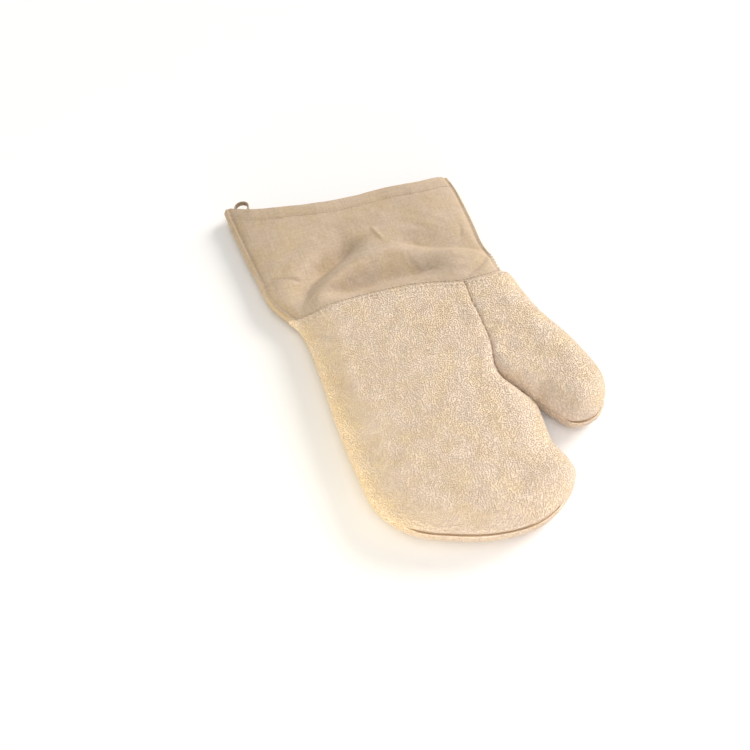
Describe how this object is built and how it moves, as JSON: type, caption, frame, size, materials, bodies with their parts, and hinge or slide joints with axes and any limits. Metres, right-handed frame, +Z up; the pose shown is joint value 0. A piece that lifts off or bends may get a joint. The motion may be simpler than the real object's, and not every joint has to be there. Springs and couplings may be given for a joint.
{
  "type": "oven glove",
  "caption": "Oven mitt of looped terry cloth with a separate thumb, a long flared canvas cuff and a small tape loop to hang it by.",
  "frame": {"origin": "middle of the bounding box in plan, on the surface that the mitt lies on", "axes": "+X towards the thumb, +Y towards the open end of the cuff, +Z up, away from the surface"},
  "size_m": [0.2456, 0.3941, 0.0394],
  "materials": {
    "terry": "matt looped pile",
    "canvas": "matt plain weave"
  },
  "bodies": {
    "root": {"hand_front": "terry", "hand_back": "terry", "thumb_front": "terry", "thumb_back": "terry", "cuff_front": "canvas", "cuff_back": "canvas", "hang_loop": "canvas"}
  },
  "joints": []
}
